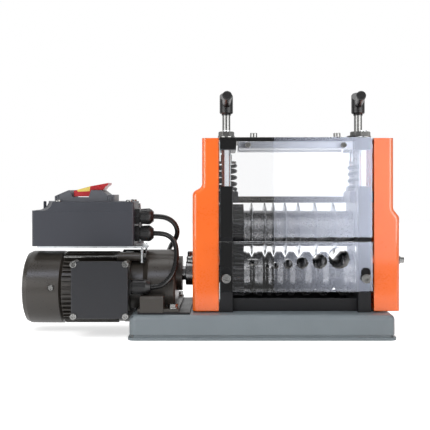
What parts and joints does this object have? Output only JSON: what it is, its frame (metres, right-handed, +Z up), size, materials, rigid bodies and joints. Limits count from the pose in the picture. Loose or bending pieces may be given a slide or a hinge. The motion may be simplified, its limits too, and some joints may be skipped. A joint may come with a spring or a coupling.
{
  "type": "wire stripping machine",
  "caption": "Bench machine that slits cable insulation between grooved feed roller and disc blades, driven by a gearmotor, with adjusting levers on top.",
  "frame": {"origin": "on the floor, under the middle of the whole machine's bounding box", "axes": "+X along the machine from the motor to the cutting head, -Y towards the user, +Z up"},
  "size_m": [0.5916, 0.3558, 0.3833],
  "materials": {
    "tray_paint": "satin grey-blue enamel",
    "black_steel": "satin black",
    "orange_paint": "gloss orange",
    "chrome": "polished",
    "zinc": "bright zinc plate",
    "steel": "ground steel",
    "blade_steel": "ground and polished",
    "stainless": "satin stainless steel",
    "spring_steel": "black",
    "aluminium": "satin",
    "clear_guard": "clear acrylic",
    "motor_paint": "satin bronze-brown",
    "charcoal_plastic": "fine-grained charcoal",
    "switch_plastic": "fine-grained grey",
    "red_plastic": "red",
    "yellow_plastic": "yellow",
    "green_plastic": "green",
    "black_plastic": "black",
    "galvanised": "galvanised",
    "cord_rubber": "black",
    "lever_plastic": "black"
  },
  "bodies": {
    "frame": {"base_tray": "tray_paint", "left_wall": "black_steel", "right_wall": "black_steel", "wall_bolts": "zinc", "left_cap": "black_steel", "right_cap": "black_steel", "guide_pillars": "chrome", "cap_nuts": "zinc", "top_plate": "black_steel", "top_bars": "aluminium", "top_screws": "stainless", "rear_tie_rod": "black_steel", "chip_tray": "black_steel", "lower_bearings": "steel", "upper_guard": "clear_guard", "wire_guide": "clear_guard", "wire_guide_screws": "stainless", "left_cover": "orange_paint", "right_cover": "orange_paint", "cover_bolts": "zinc", "motor_housing": "motor_paint", "fan_cover": "motor_paint", "gearbox_housing": "motor_paint", "gearbox_cover": "motor_paint", "motor_plate": "black_steel", "gearmotor_bolts": "zinc", "terminal_box": "motor_paint", "terminal_cover": "charcoal_plastic", "box_screws": "zinc", "cable_glands": "black_plastic", "control_bracket": "galvanised", "control_box": "charcoal_plastic", "control_lid": "charcoal_plastic", "switch_housing": "switch_plastic", "motor_lead": "cord_rubber", "power_cord": "cord_rubber", "cord_coil": "cord_rubber", "plug": "black_plastic"},
    "carriage": {"left_slide_block": "black_steel", "right_slide_block": "black_steel", "upper_bearings": "steel", "left_spring": "spring_steel", "right_spring": "spring_steel"},
    "blade_shaft": {"blade_shaft": "steel", "cutting_blades": "blade_steel", "blade_spacers": "steel", "upper_gear": "steel"},
    "drive_roller": {"feed_roller": "steel", "lower_gear": "steel", "shaft_coupling": "steel"},
    "rotor": {"cooling_fan": "black_plastic"},
    "left_adjuster": {"left_adjusting_screw": "zinc", "left_lever_grip": "lever_plastic"},
    "right_adjuster": {"right_adjusting_screw": "zinc", "right_lever_grip": "lever_plastic"},
    "stop_cover": {"stop_paddle": "red_plastic", "paddle_inlay": "yellow_plastic"},
    "start": {"start_button": "green_plastic"},
    "stop": {"stop_button": "red_plastic"}
  },
  "joints": [
    {"name": "roller_turn", "type": "hinge", "parent": "frame", "child": "drive_roller", "pos_m": [0.128, 0, 0.0915], "axis": [1, 0, 0], "continuous": true},
    {"name": "carriage_slide", "type": "slide", "parent": "frame", "child": "carriage", "axis": [0, 0, 1], "range_m": [0, 0.0045]},
    {"name": "blade_turn", "type": "hinge", "parent": "carriage", "child": "blade_shaft", "pos_m": [0.128, 0, 0.1635], "axis": [1, 0, 0], "continuous": true},
    {"name": "fan_turn", "type": "hinge", "parent": "frame", "child": "rotor", "pos_m": [-0.256, 0, 0.07], "axis": [1, 0, 0], "continuous": true},
    {"name": "left_adjuster_turn", "type": "hinge", "parent": "carriage", "child": "left_adjuster", "pos_m": [0.022, 0, 0.3], "axis": [0, 0, 1], "range_deg": [0, 810]},
    {"name": "right_adjuster_turn", "type": "hinge", "parent": "carriage", "child": "right_adjuster", "pos_m": [0.234, 0, 0.3], "axis": [0, 0, 1], "range_deg": [0, 810]},
    {"name": "stop_cover_hinge", "type": "hinge", "parent": "frame", "child": "stop_cover", "pos_m": [-0.2195, 0.004, 0.2205], "axis": [0, -1, 0], "range_deg": [0, 95]},
    {"name": "start_press", "type": "slide", "parent": "frame", "child": "start", "axis": [0, 0, -1], "range_m": [0, 0.002], "stiffness_N_per_m": 400, "springref_m": -0.001},
    {"name": "stop_press", "type": "slide", "parent": "frame", "child": "stop", "axis": [0, 0, -1], "range_m": [0, 0.002], "stiffness_N_per_m": 400, "springref_m": -0.001}
  ],
  "couplings": [
    {"joint": "blade_turn", "follows": "roller_turn", "ratio": -1},
    {"joint": "fan_turn", "follows": "roller_turn", "ratio": 20},
    {"joint": "left_adjuster_turn", "follows": "carriage_slide", "rad_per_m": 3141.6},
    {"joint": "right_adjuster_turn", "follows": "carriage_slide", "rad_per_m": 3141.6}
  ]
}
